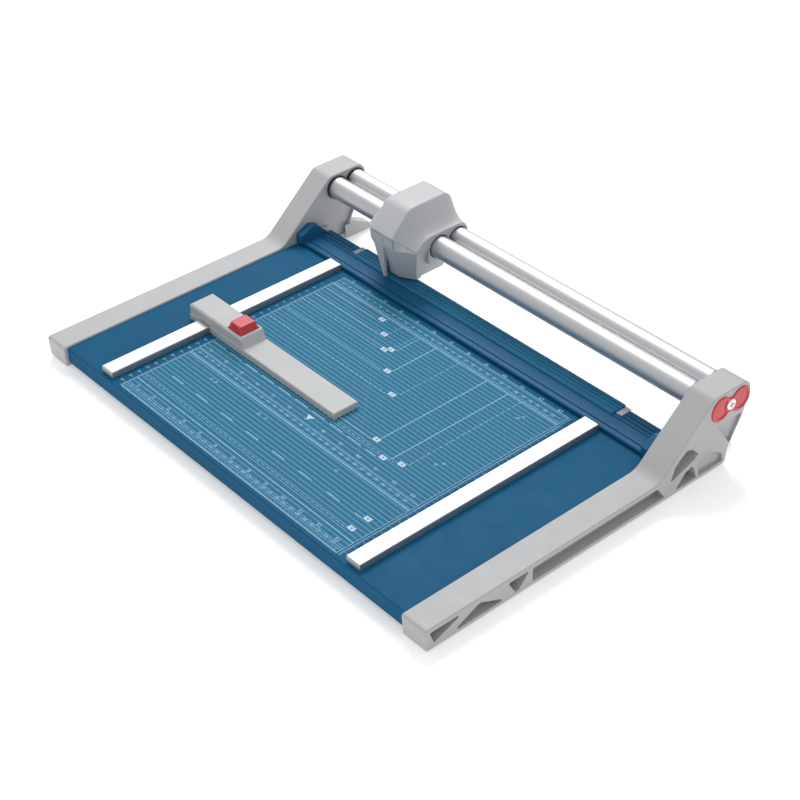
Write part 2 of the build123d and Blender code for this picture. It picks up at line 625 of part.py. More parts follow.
def clamp_bracket():
    """Right end block of the clamp; it rides on a fixed pin and holds a spring."""
    body = prism_x(polygon(BRACKET_OUTLINE, BRACKET_CORNER), CLAMP_HALF, BRACKET_OUT)
    body -= rod_z(CLAMP_PIN_X, CLAMP_PIN_Y, 0, CLAMP_PIN_TOP + 2, CLAMP_PIN_R + RUN)
    spring_room = CLAMP_SPRING_R + CLAMP_SPRING_WIRE + CLAMP_SPRING_GAP
    return body - rod_z(CLAMP_PIN_X, CLAMP_PIN_Y, 0, CLAMP_SPRING_TOP, spring_room)


def clamp_pin():
    """Guide pin with a flat head below the table."""
    low = TABLE_LOW - CLAMP_PIN_HEAD
    body = rod_z(CLAMP_PIN_X, CLAMP_PIN_Y, low, CLAMP_PIN_TOP, CLAMP_PIN_R)
    body = chamfer(body.faces().sort_by(Axis.Z)[-1].edges(), CLAMP_PIN_R / 4)
    return body + rod_z(CLAMP_PIN_X, CLAMP_PIN_Y, low, TABLE_LOW, CLAMP_PIN_R + CLAMP_PIN_HEAD)


def coil(x, y, low, high, mean_r, wire, turns):
    """Round-wire compression spring standing between two heights."""
    rise = high - low - 2 * wire
    path = Helix(rise / turns, rise, mean_r)
    section = Plane(origin=path @ 0, z_dir=path % 0) * Circle(wire)
    return Pos(x, y, low + wire) * sweep(section, path=path)


# --- backstop ---------------------------------------------------------------------------


def button_mid():
    return (sum(BUTTON_X) / 2, sum(BUTTON_Y) / 2)


def stop_spring_room(z_low, z_high):
    x, y = button_mid()
    return rod_z(x, y, z_low, z_high, STOP_SPRING_R + STOP_SPRING_WIRE + STOP_SPRING_GAP)


def stop_hump():
    """Raised part of the stop, over the rail and round the button."""
    toe = STOP_HUMP_END + HUMP_RAKE
    face = Plane.XZ.offset(-HUMP_BACK) * rounded_outline([
        (STOP_LEFT, STOP_LOW, STOP_SOLE_R), (STOP_LEFT, STOP_HUMP_Z, STOP_EDGE_R),
        (STOP_HUMP_END, STOP_HUMP_Z, STOP_EDGE_R),
        (toe, STOP_ARM_Z, STOP_EDGE_R), (toe, STOP_LOW, STOP_SOLE_R)])
    hump = extrude(face, amount=HUMP_BACK - HUMP_FRONT)
    bevel = [(HUMP_FRONT - OVER, STOP_HUMP_Z - HUMP_BEVEL - OVER), (HUMP_FRONT - OVER, STOP_HUMP_Z + OVER),
             (HUMP_FRONT + HUMP_BEVEL + OVER, STOP_HUMP_Z + OVER)]
    return hump - prism_x(polygon(bevel, 0), STOP_LEFT - OVER, toe + OVER)


def backstop_body():
    """Stop block that straddles the left rail, with a long low arm across the table."""
    arm = block(STOP_LEFT, STOP_RIGHT, STOP_FRONT, STOP_BACK, STOP_LOW, STOP_ARM_Z)
    body = chamfer(arm.faces().sort_by(Axis.Z)[-1].edges(), ARM_BREAK) + stop_hump()
    body -= block(RAIL_LEFT_IN - RAIL_W - SLIP, RAIL_LEFT_IN + SLIP, STOP_FRONT - OVER,
                  STOP_BACK + OVER, TABLE_TOP, TABLE_TOP + RAIL_H + SLIP)
    body -= block(BUTTON_X[0] - SLIP, BUTTON_X[1] + SLIP, BUTTON_Y[0] - SLIP, BUTTON_Y[1] + SLIP,
                  STOP_ARM_Z, STOP_HUMP_Z + OVER)
    body -= stop_spring_room(POCKET_FLOOR, STOP_ARM_Z + OVER)
    y = button_mid()[1]
    body -= block(PAWL_X[0] - SLIP, PAWL_X[1] + SLIP, y - PAWL_W / 2 - SLIP, y + PAWL_W / 2 + SLIP,
                  PAWL_Z[0] - BUTTON_TRAVEL - SLIP, PAWL_Z[1] + SLIP)
    return body


def backstop_button():
    """Red push button: a tapered cap on a straight skirt, with a soft top rim."""
    x, y = button_mid()
    wide = BUTTON_X[1] - BUTTON_X[0]
    deep = BUTTON_Y[1] - BUTTON_Y[0]
    skirt = RectangleRounded(wide, deep, BUTTON_CORNER)
    crown = RectangleRounded(wide - BUTTON_TAPER[0], deep - BUTTON_TAPER[1], BUTTON_CORNER)
    base = extrude(Pos(x, y, BUTTON_LOW) * skirt, amount=STOP_HUMP_Z - BUTTON_LOW)
    cap = loft([(Pos(x, y, STOP_HUMP_Z) * skirt).face(), (Pos(x, y, BUTTON_TOP) * crown).face()])
    cap = fillet(cap.faces().sort_by(Axis.Z)[-1].edges(), BUTTON_RIM)
    return base + cap - stop_spring_room(BUTTON_LOW - OVER, BUTTON_LOW + STOP_SPRING_SEAT)


def lock_pawl():
    """Steel tongue under the button that reaches to the rail."""
    y = button_mid()[1]
    body = block(PAWL_X[0], PAWL_X[1], y - PAWL_W / 2, y + PAWL_W / 2, *PAWL_Z)
    return body - stop_spring_room(0, BUTTON_TOP)


# --- cutting head -------------------------------------------------------------------------


def hood_section(step, blend):
    """One cross section of the flared side, between the big core and the small collar."""
    x = HEAD_CORE + (HEAD_HALF - HEAD_CORE) * step
    points = [(y0 + (y1 - y0) * blend, z0 + (z1 - z0) * blend)
              for (y0, z0), (y1, z1) in zip(HOOD_BIG, HOOD_SMALL)]
    return upright_face(points, x)


def wheel_room():
    """Space the round blade turns in."""
    return rod_y(0, CUTTER_Y - BLADE_ROOM, HEAD_FACE_Y + BLADE_ROOM, CUTTER_Z, CUTTER_R + BLADE_ROOM)


def head_hood():
    """Grip hood: a flat-topped core with a sloped nose, hollow-flared down to the tube collars."""
    sections = [hood_section(step, blend) for step, blend in FLARE]
    flare = loft(sections, ruled=True)
    core = extrude(sections[0], amount=-2 * HEAD_CORE, dir=(1, 0, 0))
    body = core + flare + left_of(flare)
    for y in TUBE_YS:
        body -= rod_x(-HEAD_HALF - OVER, HEAD_HALF + OVER, y, TUBE_Z, TUBE_R + HOOD_BORE_GAP)
        for x_low in (-HEAD_HALF - OVER, HEAD_HALF - BUSH_L):
            body -= rod_x(x_low, x_low + BUSH_L + OVER, y, TUBE_Z, BUSH_R + SEAT)
    cavity = block(-HEAD_CORE + HOOD_WALL, HEAD_CORE - HOOD_WALL, HEAD_FACE_Y - HOOD_WALL,
                   COLLAR_BACK - 2 * HOOD_WALL, TUBE_Z + TUBE_R + HOOD_ROOF, HEAD_TOP - HOOD_ROOF)
    shell_cut = block(-HEAD_HALF - OVER, HEAD_HALF + OVER, CUTTER_Y - BLADE_ROOM,
                      HEAD_FACE_Y, HOLDER_TOP, CUTTER_Z + CUTTER_R + BLADE_ROOM)
    body -= cavity + finger_shape() + (wheel_room() & shell_cut)
    return Pos(HEAD_X, 0, 0) * body


def bushing(x_side, y):
    """Black slide ring in a hood collar, running on the tube."""
    low = HEAD_HALF - BUSH_L if x_side > 0 else -HEAD_HALF
    return Pos(HEAD_X, 0, 0) * tube_ring(low, low + BUSH_L, y, BUSH_R, RUN)


def head_guard():
    """Bow-shaped guard below the hood; it covers the round blade's front."""
    body = loft([level_face(GUARD_LOWER, GUARD_BOTTOM), level_face(GUARD_UPPER, GUARD_TOP)], ruled=True)
    body += extrude(upright_face(CHIN, 0), amount=HEAD_CORE - 1, dir=(1, 0, 0), both=True)
    body -= wheel_room()
    body -= rod_y(0, HUB_FRONT - HUB_ROOM, HEAD_FACE_Y + OVER, CUTTER_Z, HUB_R + BLADE_ROOM)
    slot_low = GUARD_BOTTOM - OVER
    slot = make_face(Polyline(
        Vector(SLOT_LOW_X[0], SLOT_Y[0], slot_low), Vector(SLOT_LOW_X[1], SLOT_Y[0], slot_low),
        Vector(SLOT_HIGH_X[1], SLOT_Y[0], SLOT_TOP), Vector(SLOT_HIGH_X[0], SLOT_Y[0], SLOT_TOP),
        close=True))
    body -= extrude(slot, amount=SLOT_Y[1] - SLOT_Y[0], dir=(0, 1, 0))
    return Pos(HEAD_X, 0, 0) * (body - finger_shape())


def finger_shape():
    return loft([level_face(FINGER_TIP, FINGER_TIP_Z), level_face(FINGER_ROOT, FINGER_ROOT_Z)], ruled=True)


def guard_finger():
    """Pointed finger below the nose that shows where the cut runs."""
    return Pos(HEAD_X, 0, 0) * finger_shape()


def blade_holder():
    """Block below the tubes that carries the axle of the round blade."""
    body = prism_x(polygon(HOLDER_OUTLINE, HOLDER_CORNER), -HOLDER_HALF, HOLDER_HALF)
    body -= rod_y(0, HEAD_FACE_Y - OVER, HEAD_FACE_Y + AXLE_DEEP, CUTTER_Z, AXLE_R + SEAT)
    for x in HOLDER_HOLE_XS:
        body -= rod_z(x, HOLDER_HOLE_Y, GUARD_BOTTOM - OVER, GUARD_BOTTOM + HOLDER_HOLE_DEEP, HOLDER_HOLE_R)
    return Pos(HEAD_X, 0, 0) * body


def cutter_disc():
    """Round blade with a ground edge bevel on its back face."""
    body = rod_y(0, CUTTER_Y, CUTTER_Y + CUTTER_T, CUTTER_Z, CUTTER_R)
    back = body.faces().sort_by(Axis.Y)[-1].edges()
    body = chamfer(back, length=CUTTER_GRIND[0], length2=CUTTER_GRIND[1])
    body -= rod_y(0, CUTTER_Y - OVER, CUTTER_Y + CUTTER_T + OVER, CUTTER_Z, AXLE_R + RUN)
    return Pos(HEAD_X, 0, 0) * body


def cutter_hub():
    """Hub washer fixed to the front of the round blade, with grip holes."""
    body = rod_y(0, HUB_FRONT, CUTTER_Y, CUTTER_Z, HUB_R)
    body = fillet(body.faces().sort_by(Axis.Y)[0].edges(), HUB_RIM)
    body -= rod_y(0, HUB_FRONT - OVER, CUTTER_Y + OVER, CUTTER_Z, AXLE_R + RUN)
    for i in range(HUB_HOLES):
        turn = 2 * math.pi * i / HUB_HOLES
        x = HUB_HOLE_RING * math.cos(turn)
        z = CUTTER_Z + HUB_HOLE_RING * math.sin(turn)
        body -= rod_y(x, HUB_FRONT - OVER, HUB_FRONT + HUB_HOLE_DEEP, z, HUB_HOLE_R)
    return Pos(HEAD_X, 0, 0) * body


def cutter_axle():
    """Shouldered axle screw: it holds the blade and is seated in the holder."""
    under_head = HUB_FRONT - SLIP
    body = rod_y(0, under_head, HEAD_FACE_Y + AXLE_DEEP - 1, CUTTER_Z, AXLE_R)
    head = rod_y(0, under_head - AXLE_HEAD_T, under_head, CUTTER_Z, AXLE_HEAD_R)
    head = chamfer(head.faces().sort_by(Axis.Y)[0].edges(), AXLE_HEAD_T / 4)
    slot = Pos(0, under_head - AXLE_HEAD_T, CUTTER_Z) * Box(*AXLE_SLOT)
    return Pos(HEAD_X, 0, 0) * (body + head - slot)


# --- write every piece ------------------------------------------------------------------


def both_sides(parts, name, part):
    parts[name + "_right"] = part
    parts[name + "_left"] = left_of(part)


def build():
    parts = {"table_plate": table_plate(), "lower_blade": lower_blade(), "blade_bed": blade_bed(),
             "tie_rod_front": tie_rod()}
    both_sides(parts, "frame", side_frame())
    both_sides(parts, "end_cap", end_cap())
    both_sides(parts, "cap_screw", cap_screw())
    both_sides(parts, "clamp_bracket", clamp_bracket())
    both_sides(parts, "clamp_pin", clamp_pin())
    spring = coil(CLAMP_PIN_X, CLAMP_PIN_Y, TABLE_TOP, CLAMP_SPRING_TOP, CLAMP_SPRING_R,
                  CLAMP_SPRING_WIRE, CLAMP_SPRING_TURNS)
    both_sides(parts, "clamp_spring", spring)
    for row, y in zip(("front", "rear"), TUBE_YS):
        parts["tube_" + row] = guide_tube(y)
        both_sides(parts, "tube_sleeve_" + row, tube_sleeve(y))
        parts["bushing_" + row + "_right"] = bushing(1, y)
        parts["bushing_" + row + "_left"] = bushing(-1, y)
    for row, y in zip(("front", "rear"), FOOT_YS):
        both_sides(parts, "foot_" + row, foot(y))
    for row, y in zip(("front", "rear"), TABLE_SCREW_YS):
        both_sides(parts, "table_screw_" + row, table_screw(y))
    for row, x in zip(("left", "middle", "right"), BED_SCREW_XS):
        parts["bed_screw_" + row] = bed_screw(x)
    for side, x_low in (("left", RAIL_LEFT_IN - RAIL_W), ("right", RAIL_LEFT_IN + RAIL_GAP)):
        parts["rail_" + side] = rail(x_low)
        for row, y in zip(("front", "rear"), RAIL_PIN_YS):
            parts["rail_pin_" + side + "_" + row] = rail_pin(x_low + RAIL_W / 2, y)
    parts["clamp_carrier"] = clamp_carrier()
    parts["clamp_strip"] = clamp_strip()
    parts["clamp_lip"] = clamp_lip()
    parts["backstop_body"] = backstop_body()
    parts["backstop_button"] = backstop_button()
    parts["lock_pawl"] = lock_pawl()
    parts["button_spring"] = coil(*button_mid(), POCKET_FLOOR, BUTTON_LOW + STOP_SPRING_SEAT,
                                  STOP_SPRING_R, STOP_SPRING_WIRE, STOP_SPRING_TURNS)
    parts["head_hood"] = head_hood()
    parts["head_guard"] = head_guard()
    parts["guard_finger"] = guard_finger()
    parts["blade_holder"] = blade_holder()
    parts["cutter_disc"] = cutter_disc()
    parts["cutter_hub"] = cutter_hub()
    parts["cutter_axle"] = cutter_axle()
    return parts


os.makedirs("parts", exist_ok=True)
for node, shape in build().items():
    export_step(shape, "parts/" + node + ".step")
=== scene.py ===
import json
import math
import bpy
from mathutils import Matrix, Vector


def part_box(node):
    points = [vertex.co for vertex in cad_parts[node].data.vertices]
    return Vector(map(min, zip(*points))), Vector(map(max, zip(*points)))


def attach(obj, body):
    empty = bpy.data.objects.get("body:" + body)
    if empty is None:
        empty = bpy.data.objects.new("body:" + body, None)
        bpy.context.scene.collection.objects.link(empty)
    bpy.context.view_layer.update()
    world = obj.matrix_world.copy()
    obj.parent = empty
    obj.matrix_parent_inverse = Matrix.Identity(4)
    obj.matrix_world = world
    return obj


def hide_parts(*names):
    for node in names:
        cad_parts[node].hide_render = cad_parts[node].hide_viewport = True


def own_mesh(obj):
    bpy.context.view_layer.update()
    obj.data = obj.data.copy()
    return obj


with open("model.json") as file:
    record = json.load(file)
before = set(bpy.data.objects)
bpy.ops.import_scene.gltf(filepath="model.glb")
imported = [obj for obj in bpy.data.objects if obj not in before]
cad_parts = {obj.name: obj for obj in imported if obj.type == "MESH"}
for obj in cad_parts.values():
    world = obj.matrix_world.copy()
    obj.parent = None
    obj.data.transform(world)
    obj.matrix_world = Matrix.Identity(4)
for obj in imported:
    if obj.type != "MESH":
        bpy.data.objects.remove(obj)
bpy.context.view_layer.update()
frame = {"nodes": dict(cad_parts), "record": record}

# Looks of the rotary paper trimmer. Metres, in the frame's own axes: +X along the cut,
# +Y to the back, +Z up.

MM = 0.001
CUT_TO_PRINT = 63.3 * MM        # from the cutting edge to the upper scale's base line

# Places read from the frame
TABLE_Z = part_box("table_plate")[1].z
RAIL_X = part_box("rail_left")[1].x       # print x = 0: the left rail's inner edge
PRINT_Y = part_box("lower_blade")[1].y - CUT_TO_PRINT     # print y = 0: the upper scale's base line
HOOD_LOW, HOOD_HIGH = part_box("head_hood")
TUBE_FRONT = (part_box("tube_front")[0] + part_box("tube_front")[1]) / 2
TUBE_REAR = (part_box("tube_rear")[0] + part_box("tube_rear")[1]) / 2
TUBE_R = (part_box("tube_front")[1].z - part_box("tube_front")[0].z) / 2

# Camera
CAMERA_AT = (1.08335, -0.87979, 1.04140)
CAMERA_AZIMUTH = 50.25
CAMERA_ELEVATION = 36.72
CAMERA_ROLL = -1.77
CAMERA_LENS = 80.35

# Lamps: name, place, size, watts
LAMPS = (("key", (-1.3, 1.1, 2.0), 1.4, 41.0), ("fill", (0.4, -2.2, 1.8), 2.1, 3.5))
SURROUND = 0.7                  # strength of the white surround
FLOOR_HALF = 6
FLOOR_GLOW = 0.3

NOISE_LOW, NOISE_HIGH = 0.3, 0.7    # most noise values lie between these

# Edges turned by more than this stay sharp, or are rounded by soften
PIECE_SHARP = math.radians(38)
HOOD_SHARP = math.radians(32)
NODE_SHARP = math.radians(28)
# CAD nodes with rounded edges, and how wide
EDGE_WIDTHS = (("backstop_body", 0.5 * MM), ("head_guard", 0.6 * MM), ("blade_holder", 0.4 * MM))


# --- node helpers ------------------------------------------------------------------------


def new_material(name):
    """Material with a Principled shader; returns it with its nodes, links and shader."""
    mat = bpy.data.materials.new(name)
    mat.use_nodes = True
    tree = mat.node_tree
    shader = tree.nodes["Principled BSDF"]
    return mat, tree, shader


def coordinates(tree, scale):
    """Object coordinates stretched by scale, in repeats per metre."""
    place = tree.nodes.new("ShaderNodeTexCoord")
    stretch = tree.nodes.new("ShaderNodeMapping")
    stretch.inputs["Scale"].default_value = scale
    tree.links.new(place.outputs["Object"], stretch.inputs["Vector"])
    return stretch.outputs["Vector"]


def noise(tree, scale, detail=3.0, rough=0.55):
    """Noise value over stretched object coordinates."""
    node = tree.nodes.new("ShaderNodeTexNoise")
    node.inputs["Scale"].default_value = 1.0
    node.inputs["Detail"].default_value = detail
    node.inputs["Roughness"].default_value = rough
    tree.links.new(coordinates(tree, scale), node.inputs["Vector"])
    return node.outputs["Fac"]


def ramp(tree, value, stops):
    """Colour ramp with (position, rgb) stops."""
    node = tree.nodes.new("ShaderNodeValToRGB")
    elements = node.color_ramp.elements
    while len(elements) < len(stops):
        elements.new(0.5)
    for element, (position, rgb) in zip(elements, stops):
        element.position = position
        element.color = (*rgb, 1.0)
    tree.links.new(value, node.inputs["Fac"])
    return node.outputs["Color"]


def spread(tree, value, low, high):
    """Noise value mapped to low..high."""
    node = tree.nodes.new("ShaderNodeMapRange")
    node.inputs["From Min"].default_value = NOISE_LOW
    node.inputs["From Max"].default_value = NOISE_HIGH
    node.inputs["To Min"].default_value = low
    node.inputs["To Max"].default_value = high
    tree.links.new(value, node.inputs["Value"])
    return node.outputs["Result"]


def bump(tree, shader, value, strength, depth):
    node = tree.nodes.new("ShaderNodeBump")
    node.inputs["Strength"].default_value = strength
    node.inputs["Distance"].default_value = depth
    tree.links.new(value, node.inputs["Height"])
    tree.links.new(node.outputs["Normal"], shader.inputs["Normal"])


def shade(rgb, factor):
    return tuple(min(1.0, c * factor) for c in rgb)


def drift(tree, shader, value, rgb, amount):
    """Base colour that gets a little lighter and darker with a noise value."""
    stops = [(NOISE_LOW, shade(rgb, 1 - amount)), (NOISE_HIGH, shade(rgb, 1 + amount))]
    tree.links.new(ramp(tree, value, stops), shader.inputs["Base Color"])


def vary_colour(tree, shader, rgb, amount, scale=(14, 14, 14)):
    """Base colour that drifts over the surface."""
    drift(tree, shader, noise(tree, scale), rgb, amount)


# --- materials -----------------------------------------------------------------------------


def moulded_plastic(name, rgb, rough, grain=1600, strength=0.12, amount=0.03, level=0.4):
    """Injection-moulded plastic: fine spark grain, slight drift in tone and gloss."""
    mat, tree, shader = new_material(name)
    vary_colour(tree, shader, rgb, amount)
    tree.links.new(spread(tree, noise(tree, (60, 60, 60)), rough - 0.04, rough + 0.05),
                   shader.inputs["Roughness"])
    shader.inputs["Specular IOR Level"].default_value = level
    bump(tree, shader, noise(tree, (grain, grain, grain), detail=2.0), strength, 0.08 * MM)
    return mat


def glossy_plastic(name, rgb, rough=0.22):
    """Polished moulded plastic with a clear sheen."""
    mat, tree, shader = new_material(name)
    vary_colour(tree, shader, rgb, 0.05, (30, 30, 30))
    tree.links.new(spread(tree, noise(tree, (90, 90, 90)), rough - 0.03, rough + 0.06),
                   shader.inputs["Roughness"])
    shader.inputs["Coat Weight"].default_value = 0.25
    shader.inputs["Coat Roughness"].default_value = 0.12
    bump(tree, shader, noise(tree, (260, 260, 260), detail=1.0), 0.05, 0.1 * MM)
    return mat


def drawn_metal(name, rgb, rough, grain, strength=0.1, amount=0.05):
    """Metal with fine lines along its length; grain gives repeats per metre on each axis."""
    mat, tree, shader = new_material(name)
    shader.inputs["Metallic"].default_value = 1.0
    lines = noise(tree, grain, detail=4.0, rough=0.65)
    drift(tree, shader, lines, rgb, amount)
    tree.links.new(spread(tree, lines, rough - 0.05, rough + 0.07), shader.inputs["Roughness"])
    bump(tree, shader, lines, strength, 0.02 * MM)
    return mat


def table_paint(name, rgb):
    """Powder coat: a faint orange peel and slight cloudiness."""
    mat, tree, shader = new_material(name)
    vary_colour(tree, shader, rgb, 0.07, (7, 7, 7))
    tree.links.new(spread(tree, noise(tree, (40, 40, 40)), 0.42, 0.55), shader.inputs["Roughness"])
    shader.inputs["Specular IOR Level"].default_value = 0.05
    bump(tree, shader, noise(tree, (700, 700, 700), detail=2.0), 0.18, 0.06 * MM)
    return mat


def printed_ink(name, rgb, patchy):
    """Screen-printed ink, a little uneven where the screen lets less through."""
    mat, tree, shader = new_material(name)
    vary_colour(tree, shader, rgb, patchy, (220, 220, 220))
    shader.inputs["Roughness"].default_value = 0.5
    shader.inputs["Specular IOR Level"].default_value = 0.05
    return mat


def clear_plastic(name):
    """Blue-tinted pressing lip that lets the metal below show faintly, with fine scuffs."""
    mat, tree, shader = new_material(name)
    vary_colour(tree, shader, (0.02, 0.165, 0.31), 0.08, (20, 20, 20))
    shader.inputs["Specular IOR Level"].default_value = 0.2
    shader.inputs["Alpha"].default_value = 0.88
    tree.links.new(spread(tree, noise(tree, (30, 500, 500)), 0.2, 0.32), shader.inputs["Roughness"])
    bump(tree, shader, noise(tree, (6, 900, 900)), 0.08, 0.03 * MM)
    return mat


def rubber(name, rgb):
    mat, tree, shader = new_material(name)
    vary_colour(tree, shader, rgb, 0.15, (60, 60, 60))
    shader.inputs["Roughness"].default_value = 0.85
    bump(tree, shader, noise(tree, (1200, 1200, 1200)), 0.3, 0.1 * MM)
    return mat


MATERIALS = {
    "table_paint": table_paint("table_paint", (0.007, 0.094, 0.198)),
    "frame_plastic": moulded_plastic("frame_plastic", (0.43, 0.435, 0.445), 0.5),
    "blade_steel": drawn_metal("blade_steel", (0.6, 0.61, 0.63), 0.28, (1500, 1500, 8)),
    "bed_aluminium": drawn_metal("bed_aluminium", (0.6, 0.61, 0.63), 0.4, (4, 900, 900)),
    "rod_steel": drawn_metal("rod_steel", (0.5, 0.5, 0.52), 0.35, (4, 900, 900)),
    "cap_plastic": glossy_plastic("cap_plastic", (0.56, 0.018, 0.028), 0.35),
    "screw_steel": drawn_metal("screw_steel", (0.72, 0.72, 0.74), 0.3, (700, 700, 700), 0.05),
    "clamp_blue": moulded_plastic("clamp_blue", (0.01, 0.098, 0.215), 0.4, 900, 0.05, 0.08, 0.15),
    "clamp_steel": drawn_metal("clamp_steel", (0.7, 0.72, 0.75), 0.25, (5, 1200, 1200)),
    "clear_plastic": clear_plastic("clear_plastic"),
    "pin_steel": drawn_metal("pin_steel", (0.6, 0.6, 0.62), 0.25, (600, 600, 600), 0.05),
    "spring_steel": drawn_metal("spring_steel", (0.5, 0.5, 0.52), 0.3, (800, 800, 800), 0.05),
    "tube_aluminium": drawn_metal("tube_aluminium", (0.57, 0.575, 0.59), 0.48, (3, 1300, 1300), 0.1, 0.03),
    "black_plastic": moulded_plastic("black_plastic", (0.012, 0.012, 0.014), 0.42, 1200, 0.08, 0.1),
    "foot_rubber": rubber("foot_rubber", (0.025, 0.025, 0.027)),
    "rail_aluminium": drawn_metal("rail_aluminium", (0.5, 0.505, 0.515), 0.5, (1300, 3, 1300), 0.1, 0.03),
    "stop_plastic": moulded_plastic("stop_plastic", (0.46, 0.465, 0.47), 0.5),
    "button_plastic": glossy_plastic("button_plastic", (0.5, 0.018, 0.03), 0.32),
    "hood_plastic": moulded_plastic("hood_plastic", (0.48, 0.485, 0.5), 0.5),
    "guard_plastic": moulded_plastic("guard_plastic", (0.47, 0.475, 0.485), 0.5),
}
INK = printed_ink("print_ink", (0.36, 0.58, 0.74), 0.12)
INK_SOFT = printed_ink("print_ink_soft", (0.12, 0.36, 0.5), 0.1)
INK_TINT = printed_ink("print_ink_tint", (0.03, 0.15, 0.262), 0.05)
INK_WHITE = printed_ink("print_ink_white", (0.48, 0.62, 0.72), 0.06)


def paint_nodes():
    """Every CAD node takes the material of its slot."""
    for entry in frame["record"]["subparts"]:
        node = frame["nodes"][entry["node"]]
        node.data.materials.clear()
        node.data.materials.append(MATERIALS[entry["material_slot"]])


def soften(node, width):
    """Rounded edges on a CAD node, as a moulding has; its mesh data stays as it is."""
    piece = frame["nodes"][node]
    weld = piece.modifiers.new("weld", "WELD")
    weld.merge_threshold = 0.002 * MM
    edge = piece.modifiers.new("edge", "BEVEL")
    edge.width = width
    edge.segments = 3
    edge.limit_method = "ANGLE"
    edge.angle_limit = NODE_SHARP
    edge.harden_normals = True
    edge.use_clamp_overlap = True


# --- mesh helpers --------------------------------------------------------------------------


def add_piece(name, vertices, faces, material, body, smooth=False):
    """Mesh object that rides on a body and takes its finish from a slot."""
    mesh = bpy.data.meshes.new(name)
    mesh.from_pydata([tuple(v) for v in vertices], [], faces)
    mesh.validate()
    mesh.materials.append(material)
    if smooth:
        mesh.shade_smooth()
        mesh.set_sharp_from_angle(angle=PIECE_SHARP)
    piece = bpy.data.objects.new(name, mesh)
    bpy.context.scene.collection.objects.link(piece)
    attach(piece, body)
    return piece


class Slabs:
    """Many thin flat-topped slabs in one mesh, given in print millimetres."""

    def __init__(self, lift, thick):
        self.low = TABLE_Z + lift
        self.high = self.low + thick
        self.vertices = []
        self.faces = []

    def outline(self, points):
        """Closed convex or star-shaped outline, counter-clockwise, as one slab."""
        first = len(self.vertices)
        count = len(points)
        for z in (self.low, self.high):
            self.vertices += [(RAIL_X + x * MM, PRINT_Y + y * MM, z) for x, y in points]
        self.faces.append([first + i for i in reversed(range(count))])
        self.faces.append([first + count + i for i in range(count)])
        for i in range(count):
            j = (i + 1) % count
            self.faces.append([first + i, first + j, first + count + j, first + count + i])

    def bar(self, x0, x1, y0, y1):
        self.outline([(x0, y0), (x1, y0), (x1, y1), (x0, y1)])

    def along_x(self, y, x0, x1, width, dash=0.0, gap=0.0):
        """Line along X, whole or dashed."""
        if not dash:
            self.bar(x0, x1, y - width / 2, y + width / 2)
            return
        x = x0
        while x < x1:
            self.bar(x, min(x + dash, x1), y - width / 2, y + width / 2)
            x += dash + gap

    def along_y(self, x, y0, y1, width, dash=0.0, gap=0.0):
        """Line along Y, whole or dashed, from y0 down to y1."""
        if not dash:
            self.bar(x - width / 2, x + width / 2, y1, y0)
            return
        y = y0
        while y > y1:
            self.bar(x - width / 2, x + width / 2, max(y - dash, y1), y)
            y -= dash + gap

    def slanted(self, start, end, width):
        """Straight line at any angle."""
        (x0, y0), (x1, y1) = start, end
        length = math.hypot(x1 - x0, y1 - y0)
        nx = -(y1 - y0) / length * width / 2
        ny = (x1 - x0) / length * width / 2
        self.outline([(x0 - nx, y0 - ny), (x1 - nx, y1 - ny), (x1 + nx, y1 + ny), (x0 + nx, y0 + ny)])

    def piece(self, name, material):
        return add_piece(name, self.vertices, self.faces, material, "base")


# --- table print ----------------------------------------------------------------------------

PRINT_LEFT = 14.0
PRINT_RIGHT = 345.4
PRINT_TOP = 15.2
PRINT_FRONT = -266.1
STRIPE_PITCH = 5.0
STRIPE_WIDE = 0.8
HAIR = 0.22
FINE = 0.45
BOLD = 0.75
CM = 10.0
INCH = 25.4
SCALES = (0.0, -184.0, PRINT_FRONT)                 # base lines of the centimetre scales
TICK = (1.9, 3.0, 4.4)                              # each 1 mm, 5 mm and 10 mm
INCH_ROWS = (16.9, -167.6, -254.4)
INCH_TICK = (-1.6, 2.0)                             # lower and upper end, from the row
NUMBER_SHIFT = 2.0                                  # numbers stand just right of their mark
DOT = (1.4, 1.2)                                    # mark, gap
DASH = (4.8, 2.4)
STRIPE_INSET = 2.0                                  # from the print's top to the first stripe
LINE_INSET = 2                                      # from the print's left edge to format lines
# Format lines: y, right end, width, dash, gap
LINES_X = [(-10.8, 95.0, FINE, 0, 0), (-25.9, 116.5, FINE, 0, 0), (-38.2, 138.6, FINE, *DOT),
           (-41.8, 137.4, FINE, *DASH), (-64.5, 166.1, FINE, 0, 0), (-86.0, 198.4, FINE, *DASH),
           (-141.8, 242.6, BOLD, 0, 0), (-149.4, 285.6, FINE, *DASH), (-155.4, 266.5, BOLD, 19.0, 7.2),
           (-239.0, 323.8, FINE, *DASH)]
# Format lines: x, lower end, width, dash, gap
LINES_Y = [(105.0, -3.6, FINE, 0, 0), (125.0, -17.9, FINE, *DASH), (148.0, -31.1, FINE, *DOT),
           (152.4, -31.1, FINE, 0, 0), (176.0, -57.4, BOLD, 0, 0), (210.0, -78.9, FINE, *DASH),
           (250.0, -135.0, BOLD, 0, 0), (279.4, -148.2, BOLD, 0, 0), (297.0, -142.2, FINE, *DASH)]
# Format tabs: centre, number
TABS = [(100.4, -6.6, 7), (121.9, -22.1, 6), (147.0, -34.7, 6), (142.2, -39.4, 6), (172.1, -60.9, 5),
        (204.3, -82.5, 5), (248.0, -138.6, 4), (272.5, -151.8, 4), (291.6, -145.8, 4),
        (329.2, -217.5, 4), (329.2, -236.0, 4)]
TAB_HALF = (3.9, 2.7)
